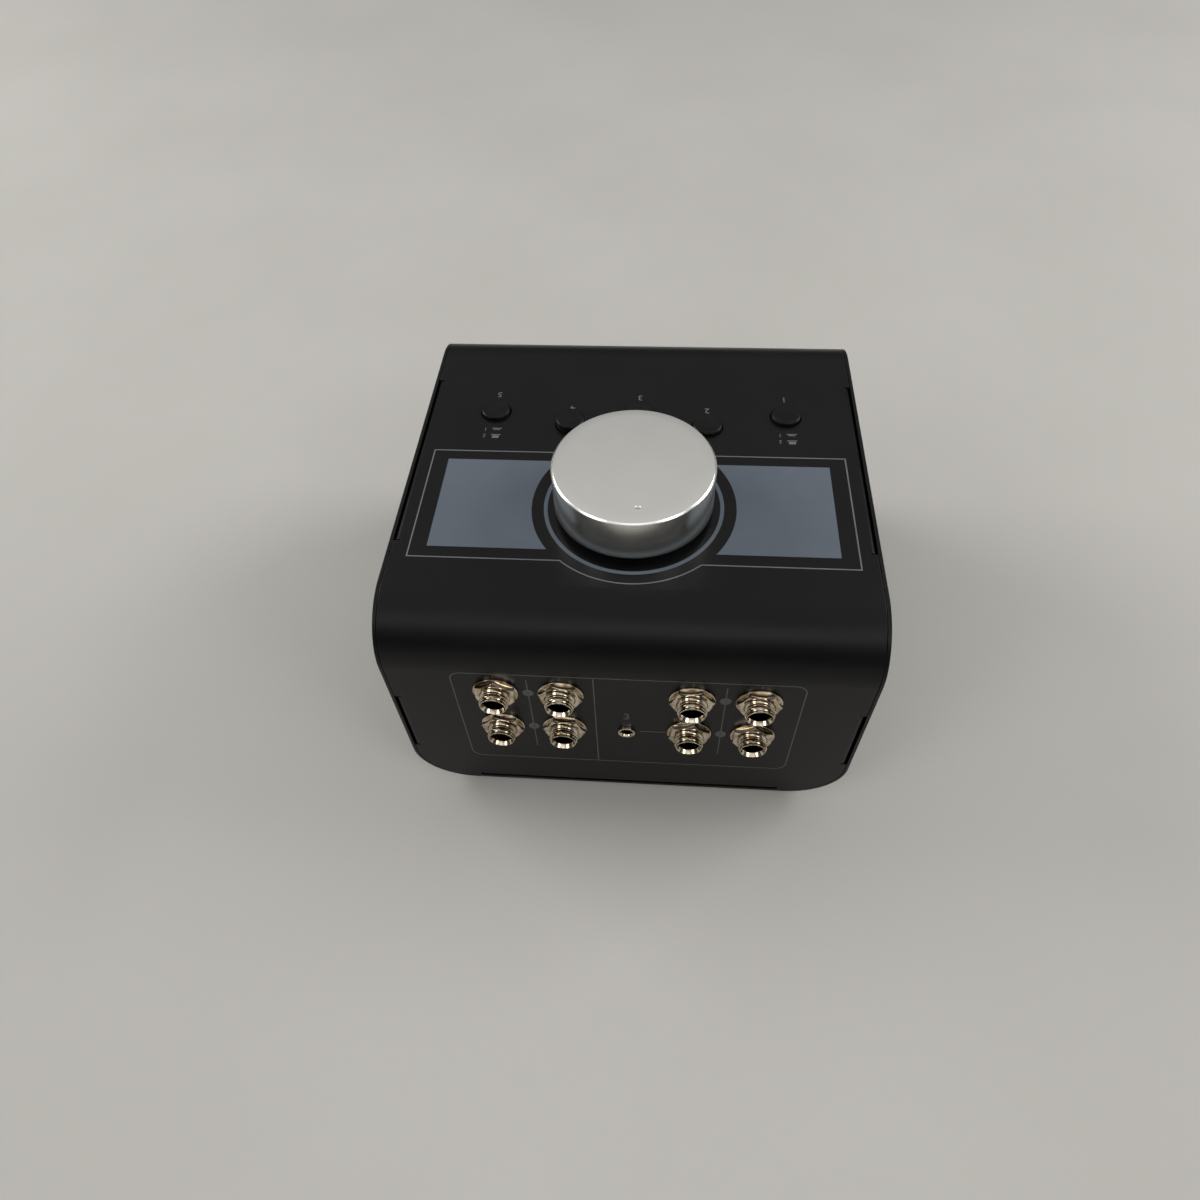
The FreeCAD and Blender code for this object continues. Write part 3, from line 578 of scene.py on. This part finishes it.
def threaded_nose(x, z, back, mouth, radius, bore):
    """A bushing with a cut thread, a rounded tip and a mouth that flares to a thin lip."""
    tip = radius - NOSE_TIP_INSET
    thread_end = mouth - NOSE_PLAIN_TIP
    thread_start = corner_box("jack_nuts")[1].y - THREAD_UNDER_NUT
    length = thread_end - thread_start

    def thread(turns_before, rise, groove):
        """A line along the helix; it starts flush with the plain part and ends so too."""

        def station(turn):
            along = (turns_before + rise + turn / (2 * math.pi)) * THREAD_PITCH
            along = min(max(along, 0), length)
            fade = min(1, along / THREAD_FADE, (length - along) / THREAD_FADE)
            return radius - THREAD_DEPTH * groove * fade, thread_start + along

        return station

    turns = math.ceil(length / THREAD_PITCH)
    thread_rings = [
        thread(before, rise, groove)
        for before in range(-1, turns + 1)
        for rise, groove in THREAD_PROFILE
    ]
    mouth_outline = rounded(
        [
            (bore, back, 0),
            (tip, thread_end, 0),
            (tip, mouth - NOSE_TIP_EDGE, NOSE_TIP_EDGE),
            (NOSE_LIP, mouth, NOSE_LIP_OUTER_ROUND),
            (NOSE_LIP - NOSE_LIP_WIDTH, mouth, NOSE_LIP_INNER_ROUND),
            (bore, mouth - NOSE_FLARE_DEPTH, NOSE_FLARE_ROUND),
        ],
        steps=5,
    )
    plain_rings = [mouth_outline[0], (radius, back), (radius, thread_start)]
    stations = [*plain_rings, *thread_rings, *mouth_outline[1:]]
    first, turn_rings = len(plain_rings), len(THREAD_PROFILE)
    last = first + len(thread_rings) - turn_rings
    helix = {ring: ring + turn_rings for ring in range(first, last)}
    return turned(stations, (x, z), "Y", steps=96, helix=helix)


def nut_corner(x, z):
    """The angle and the distance of a corner of the CAD nut round a jack."""
    spots = [vertex.co / MM for vertex in frame["nodes"]["jack_nuts"].data.vertices]
    near = [Vector((spot.x - x, spot.z - z)) for spot in spots]
    corner = max((spot for spot in near if spot.length < NUT_REACH), key=lambda spot: spot.length)
    return math.atan2(corner.y, corner.x), corner.length


def bevelled_nut(x, z, seat, thick, bore):
    """A hexagonal nut whose outer face is bevelled by a cone, so that its corners drop away."""
    turn_of_corner, corner = nut_corner(x, z)
    flat = corner * math.cos(HEX_HALF)
    bevel_start = flat * NUT_BEVEL_START
    slope = math.tan(math.radians(NUT_BEVEL_SLOPE))
    face = seat + thick

    def side(turn):
        within = (turn - turn_of_corner) % HEX_STEP - HEX_HALF
        return flat / math.cos(within)

    def shoulder(turn):
        return face - (side(turn) - bevel_start) * slope

    stations = [
        (bore, seat),
        lambda turn: (side(turn) - NUT_EDGE, seat),
        lambda turn: (side(turn), seat + NUT_EDGE),
        lambda turn: (side(turn), shoulder(turn) - NUT_SHOULDER_DROP),
        lambda turn: (side(turn) - NUT_EDGE, shoulder(turn) + NUT_SHOULDER_RISE),
        (bevel_start, face),
        (bore + NUT_BORE_BEVEL + NUT_BORE_EDGE, face),
        (bore + NUT_BORE_BEVEL, face - NUT_BORE_DROP),
        (bore, face - NUT_BORE_BEVEL),
    ]
    return turned(stations, (x, z), "Y", steps=144)


def rounded_washer(x, z, seat, thick, outer, bore):
    outline = [
        (bore, seat, 0),
        (outer, seat, WASHER_ROUND),
        (outer, seat + thick, WASHER_ROUND),
        (bore, seat + thick, 0),
    ]
    return turned(rounded(outline), (x, z), "Y", steps=96)


def make_jack_hardware():
    """The noses, nuts and washers of the eight large jacks."""
    nose_low, nose_high = corner_box("jack_noses")
    nut_low, nut_high = corner_box("jack_nuts")
    washer_low, washer_high = corner_box("jack_washers")
    bore = bore_radius("output_jack_1")
    outermost = max(x for x, _ in JACKS)
    nose_radius = nose_high.x - outermost
    washer_radius = washer_high.x - outermost
    nut_thick = nut_high.y - nut_low.y
    washer_thick = washer_high.y - washer_low.y

    noses = [threaded_nose(x, z, nose_low.y, nose_high.y, nose_radius, bore) for x, z in JACKS]
    nuts = [bevelled_nut(x, z, nut_low.y, nut_thick, nose_radius) for x, z in JACKS]
    washers = [
        rounded_washer(x, z, washer_low.y, washer_thick, washer_radius, nose_radius)
        for x, z in JACKS
    ]
    for name, node, shapes, sharp in (
        ("threaded_noses", "jack_noses", noses, 50),
        ("bevelled_nuts", "jack_nuts", nuts, 24),
        ("rounded_washers", "jack_washers", washers, 35),
    ):
        piece = make_piece(name, joined(shapes), FINISHES["nickel"], "case", sharp)
        stand_for(node)


def make_aux_nose():
    """The mini jack's nose, with a small flat face and a flared mouth."""
    low, high = corner_box("aux_jack_nose")
    bore = bore_radius("mini_jack")
    outer = (high.x - low.x) / 2
    centre = ((low.x + high.x) / 2, (low.z + high.z) / 2)
    wall = outer - bore
    outline = [
        (bore, low.y, 0),
        (outer, low.y, 0),
        (outer, high.y, wall * MINI_EDGE_ROUND),
        (bore + wall * MINI_FACE, high.y, wall * MINI_FACE_ROUND),
        (bore, high.y - wall * MINI_FLARE, wall * MINI_FLARE_ROUND),
    ]
    shape = turned(rounded(outline, steps=6), centre, "Y", steps=72)
    piece = make_piece("mini_jack_nose", shape, FINISHES["nickel"], "case")
    stand_for("aux_jack_nose")


# ---------------------------------------------------------------- knob and buttons


def make_knob():
    """A turned cup with a softly bevelled rim, an inner hub and a small dimple near the rim."""
    insert_low, insert_high = corner_box("knob_insert")
    insert_radius = (insert_high.x - insert_low.x) / 2
    radius = (KNOB_HIGH.x - KNOB_LOW.x) / 2
    low, high = KNOB_LOW.z, KNOB_HIGH.z
    outline = [
        (0, high, 0),
        (0, insert_high.z, 0),
        (insert_radius, insert_high.z, 0),
        (insert_radius, insert_low.z, 0),
        (KNOB_HUB, insert_low.z, KNOB_INNER_FOOT_ROUND),
        (KNOB_HUB, insert_high.z, KNOB_HUB_FILLET),
        (radius - KNOB_WALL, insert_high.z, KNOB_WALL_FILLET),
        (radius - KNOB_WALL, low, KNOB_INNER_FOOT_ROUND),
        (radius, low, KNOB_FOOT_ROUND),
        (radius, high - KNOB_EDGE, KNOB_EDGE_ROUND),
        (radius - KNOB_EDGE, high, KNOB_EDGE_ROUND),
    ]
    profile = [*rounded(outline), *((radius * share, high) for share in KNOB_FACE_RINGS)]
    shape = turned(profile, KNOB_CENTRE.xy, "Z", steps=192)
    knob = make_piece("turned_knob", shape, FINISHES["knob_aluminium"], "knob", KNOB_SHARP)
    cut_dimple(knob, high)
    stand_for("volume_knob")


def cut_dimple(knob, top):
    """Sink a small round-bottomed dimple into the knob's face."""
    turn = math.radians(90 + DIMPLE_TURN)
    x = KNOB_CENTRE.x + DIMPLE_FROM_CENTRE * math.cos(turn)
    y = KNOB_CENTRE.y + DIMPLE_FROM_CENTRE * math.sin(turn)
    ball = (DIMPLE_RADIUS**2 + DIMPLE_DEPTH**2) / (2 * DIMPLE_DEPTH)
    centre = top - DIMPLE_DEPTH + ball
    rises = [math.pi * ring / DIMPLE_RINGS for ring in range(DIMPLE_RINGS + 1)]
    profile = [(ball * math.sin(rise), centre - ball * math.cos(rise)) for rise in rises]
    shape = turned(profile, (x, y), "Z", steps=32)
    cutter = make_piece("dimple_cutter", shape, FINISHES["knob_aluminium"], "knob")
    modifier = knob.modifiers.new("dimple", "BOOLEAN")
    modifier.operation = "DIFFERENCE"
    modifier.object = cutter
    modifier.solver = "EXACT"
    graph = bpy.context.evaluated_depsgraph_get()
    cut = bpy.data.meshes.new_from_object(knob.evaluated_get(graph), depsgraph=graph)
    knob.modifiers.clear()
    knob.data = cut
    cut.set_sharp_from_angle(angle=math.radians(KNOB_SHARP))
    bpy.data.objects.remove(cutter)


def make_caps():
    """Round button caps with soft edges and slightly dished tops."""
    for button in BUTTONS:
        low, high = corner_box(f"{button}_cap")
        ceiling = corner_box(f"{button}_stem")[1].z
        centre = (low + high) / 2
        radius = (high.x - low.x) / 2
        dish_start = high.z - CAP_DISH * CAP_DISH_START_DEPTH
        dish_inner = high.z - CAP_DISH * CAP_DISH_INNER_DEPTH
        outline = [
            (0, high.z - CAP_DISH, 0),
            (0, ceiling, 0),
            (CAP_RECESS, ceiling, 0),
            (CAP_RECESS, low.z, 0),
            (radius, low.z, CAP_FOOT_ROUND),
            (radius, high.z, CAP_EDGE),
            (radius - 2 * CAP_EDGE, dish_start, CAP_DISH_ROUND),
            (radius * CAP_DISH_INNER, dish_inner, CAP_DISH_ROUND),
        ]
        shape = turned(rounded(outline, steps=6), centre.xy, "Z", steps=96)
        body = f"{button}_button"
        piece = make_piece(body, shape, FINISHES["button_plastic"], body)
        stand_for(f"{button}_cap")


# ---------------------------------------------------------------- print


def on_top(across, up, lift):
    return across, up, TOP + lift


def on_rear(across, drop, lift):
    """Across is +X, which runs to the left as the rear is looked at, and drop is below the top."""
    return across, REAR + lift, TOP - drop


class Print:
    """Thin raised shapes of ink on one face of the case."""

    def __init__(self, face, low=-INK_IN, high=INK_OUT):
        self.face = face
        self.low, self.high = low, high
        self.shapes = []

    def slab(self, outline):
        """A filled outline."""
        count = len(outline)
        vertices = [self.face(*point, lift) for lift in (self.low, self.high) for point in outline]
        faces = [list(range(count)), list(range(count, 2 * count))]
        for first in range(count):
            second = (first + 1) % count
            faces.append([first, second, second + count, first + count])
        self.shapes.append((vertices, faces))

    def line(self, points, width, closed=False):
        """A line of that width through points, as a bar with four corners at each of them."""
        count, ring = len(points), 4
        vertices = []
        for index, point in enumerate(points):
            here = Vector(point)
            before = Vector(points[index - 1]) if index or closed else None
            after = Vector(points[(index + 1) % count]) if index < count - 1 or closed else None
            arriving = (here - before).normalized() if before else (after - here).normalized()
            leaving = (after - here).normalized() if after else arriving
            along = (arriving + leaving).normalized()
            reach = max(MITRE_LIMIT, along.dot(arriving))
            aside = Vector((-along.y, along.x)) * width / 2 / reach
            left, right = tuple(here + aside), tuple(here - aside)
            corners = [(left, self.low), (left, self.high), (right, self.high), (right, self.low)]
            vertices.extend(self.face(*spot, lift) for spot, lift in corners)
        faces = []
        for station in range(count if closed else count - 1):
            following = (station + 1) % count
            for corner in range(ring):
                beside = (corner + 1) % ring
                square = [(station, corner), (station, beside)]
                square += [(following, beside), (following, corner)]
                faces.append([at * ring + place for at, place in square])
        if not closed:
            faces.append(list(range(ring)))
            faces.append(list(range(ring * (count - 1), ring * count)))
        self.shapes.append((vertices, faces))

    def bar(self, left, right, low, high):
        self.slab([(left, low), (right, low), (right, high), (left, high)])

    def number(self, value, height, across, up, turned_over=False):
        """A plain number centred at a place; turned over for the rear, which runs left and down."""
        way = -1 if turned_over else 1
        curve = bpy.data.curves.new("number", "FONT")
        curve.body = str(value)
        curve.size = height / FIGURE_SHARE
        curve.align_x, curve.align_y = "CENTER", "CENTER"
        curve.resolution_u = 5
        curve.extrude = (self.high - self.low) / 2
        holder = bpy.data.objects.new("number", curve)
        mesh = bpy.data.meshes.new_from_object(holder)
        middle = (self.high + self.low) / 2
        vertices = [
            self.face(across + way * spot.co.x, up + way * spot.co.y, middle + spot.co.z)
            for spot in mesh.vertices
        ]
        faces = [list(polygon.vertices) for polygon in mesh.polygons]
        self.shapes.append((vertices, faces))
        bpy.data.objects.remove(holder)
        bpy.data.curves.remove(curve)
        bpy.data.meshes.remove(mesh)

    def finish(self, name, material):
        return make_piece(name, joined(self.shapes), material, "case")


def meeting(radius, offset):
    """The angle in degrees at which a circle is that far above its centre."""
    return math.degrees(math.asin(offset / radius))


def print_top_frame():
    """A thin line round both panels that swings out round the knob at its front and rear."""
    middle = KNOB_CENTRE.xy
    rear_turn = meeting(FRAME_BULGE, FRAME_REAR - middle.y)
    front_turn = meeting(FRAME_BULGE, middle.y - FRAME_FRONT)
    points = [(FRAME_HALF, FRAME_FRONT), (FRAME_HALF, FRAME_REAR)]
    points += arc(middle, FRAME_BULGE, rear_turn, 180 - rear_turn, ARC_STEPS)
    points += [(-FRAME_HALF, FRAME_REAR), (-FRAME_HALF, FRAME_FRONT)]
    points += arc(middle, FRAME_BULGE, 180 + front_turn, 360 - front_turn, ARC_STEPS)
    ink = Print(on_top)
    ink.line(points, FRAME_LINE, closed=True)
    ink.finish("top_frame_line", TOP_INK)


def print_panels():
    """Two blue-grey panels whose inner ends curve round the knob, and the ring beside it."""
    middle = KNOB_CENTRE.xy
    rear_turn = meeting(PANEL_ARC, PANEL_REAR - middle.y)
    front_turn = meeting(PANEL_ARC, middle.y - PANEL_FRONT)
    inner = arc(middle, PANEL_ARC, rear_turn, -front_turn, ARC_STEPS)
    outline = [(PANEL_HALF, PANEL_FRONT), (PANEL_HALF, PANEL_REAR), *inner]
    panels = Print(on_top)
    for side in (1, -1):
        panels.slab([(side * x, y) for x, y in outline])
    panels.finish("grey_panels", PANEL_INK)

    ring = Print(on_top)
    circle = arc(middle, (RING_INNER + RING_OUTER) / 2, 0, 360, CIRCLE_STEPS)[:-1]
    ring.line(circle, RING_OUTER - RING_INNER, closed=True)
    ring.finish("knob_ring", PANEL_INK)


def print_button_marks():
    """A plain number in front of each button, and in and out marks behind the outer two."""
    ink = Print(on_top)
    places = {}
    for number, button in enumerate(BUTTONS, start=1):
        low, high = corner_box(f"{button}_cap")
        places[button] = ((low + high) / 2).xy
        across, up = places[button]
        gap = OUTER_NUMBER_GAP if button in OUTER_BUTTONS else NUMBER_GAP
        ink.number(number, BUTTON_NUMBER, across, up - gap)
    for button in OUTER_BUTTONS:
        across, up = places[button]
        mark, aside = across - MARK_SHIFT, across + MARK_NUMBER_ASIDE
        for number, (behind, thick) in enumerate(MARKS, start=1):
            foot = up + behind
            rear = foot + MARK_GAP
            ink.bar(mark - MARK_HALF, mark + MARK_HALF, foot - MARK_BAR, foot)
            ink.bar(mark - MARK_REAR_HALF, mark + MARK_REAR_HALF, rear, rear + thick)
            ink.number(number, SMALL_NUMBER, aside, foot + MARK_NUMBER_BEHIND)
    ink.finish("button_marks", TOP_INK)


def print_rear():
    """The rear's rounded frame, dividing lines, small ovals and plain numbers."""
    ink = Print(on_rear)
    outline = [
        (-REAR_HALF, REAR_HIGH, REAR_CORNER),
        (REAR_HALF, REAR_HIGH, REAR_CORNER),
        (REAR_HALF, REAR_LOW, REAR_CORNER),
        (-REAR_HALF, REAR_LOW, REAR_CORNER),
    ]
    ink.line(rounded(outline, steps=8), REAR_LINE, closed=True)
    ink.line([(REAR_DIVIDER, REAR_HIGH), (REAR_DIVIDER, REAR_LOW)], REAR_LINE)
    ovals = Print(on_rear, high=INK_OUT + OVAL_LIFT)
    digits = Print(on_rear, low=INK_OUT, high=INK_OUT + DIGIT_LIFT)
    for x in (PAIR_LINE, -PAIR_LINE):
        for start, end in PAIR_STRETCHES:
            ink.line([(x, start), (x, end)], REAR_LINE)
        for number, drop in enumerate(OVAL_DROPS, start=1):
            ovals.slab(oval((x, drop), OVAL_HALF_WIDTH, OVAL_HALF_HEIGHT))
            digits.number(number, SMALL_NUMBER, x, drop, turned_over=True)
    aux_low, aux_high = corner_box("aux_jack_nose")
    aux_drop = TOP - (aux_low.z + aux_high.z) / 2
    columns = sorted({x for x, _ in JACKS}, reverse=True)
    line_end = AUX_LINE_GAP - min(abs(x) for x in columns)
    ink.line([(-AUX_LINE_START, aux_drop), (line_end, aux_drop)], REAR_LINE)
    ink.number(3, AUX_NUMBER, 0, aux_drop - AUX_NUMBER_RISE, turned_over=True)
    for number, x in enumerate(columns, start=1):
        ink.number(number, SMALL_NUMBER, x, COLUMN_NUMBER_DROP, turned_over=True)
    ink.finish("rear_lines", REAR_INK)
    ovals.finish("rear_ovals", REAR_INK)
    digits.finish("oval_numbers", FINISHES["black_coat"])


# ---------------------------------------------------------------- stage


def make_floor():
    bpy.ops.mesh.primitive_plane_add(size=FLOOR_SIZE)
    floor = bpy.context.object
    floor.name = "floor"
    floor.data.materials.append(floor_finish())


def softbox(name, azimuth, elevation, distance, width, height, power, spread):
    """A lamp that faces the case; azimuth 0 is on the -Y side and 90 on the +X side."""
    lamp = bpy.data.lights.new(name, "AREA")
    lamp.shape = "RECTANGLE"
    lamp.size, lamp.size_y = width, height
    lamp.energy = power
    lamp.spread = math.radians(spread)
    holder = bpy.data.objects.new(name, lamp)
    turn, rise = math.radians(azimuth), math.radians(elevation)
    across, ahead = math.sin(turn) * math.cos(rise), -math.cos(turn) * math.cos(rise)
    way = Vector((across, ahead, math.sin(rise)))
    holder.location = Vector(LAMP_AIM) + way * distance
    holder.rotation_euler = way.to_track_quat("Z", "Y").to_euler()
    bpy.context.scene.collection.objects.link(holder)


def make_sky():
    """A studio room: bright overhead and darker towards the horizon."""
    world = bpy.data.worlds.new("studio")
    bpy.context.scene.world = world
    world.use_nodes = True
    nodes, links = world.node_tree.nodes, world.node_tree.links
    way = nodes.new("ShaderNodeTexCoord").outputs["Generated"]
    split = nodes.new("ShaderNodeSeparateXYZ")
    links.new(way, split.inputs[0])
    ramp = nodes.new("ShaderNodeValToRGB")
    links.new(split.outputs["Z"], ramp.inputs["Fac"])
    elements = ramp.color_ramp.elements
    while len(elements) < len(SKY_TONES):
        elements.new(0.5)
    for element, (position, tone) in zip(elements, SKY_TONES):
        element.position = position
        element.color = (tone, tone, tone, 1)
    links.new(ramp.outputs["Color"], nodes["Background"].inputs["Color"])


def make_stage():
    make_floor()
    make_sky()
    for lamp in LAMPS:
        softbox(*lamp)


def make_camera():
    data = bpy.data.cameras.new("camera")
    data.lens = CAMERA_LENS
    data.sensor_width = CAMERA_SENSOR
    data.clip_start = 0.01
    camera = bpy.data.objects.new("camera", data)
    camera.location = CAMERA_PLACE
    camera.rotation_euler = [math.radians(turn) for turn in CAMERA_TURN]
    bpy.context.scene.collection.objects.link(camera)
    bpy.context.scene.camera = camera


bpy.context.scene.view_settings.view_transform = "Standard"
dress_cad_nodes()
make_jack_hardware()
make_aux_nose()
make_knob()
make_caps()
print_top_frame()
print_panels()
print_button_marks()
print_rear()
make_stage()
make_camera()
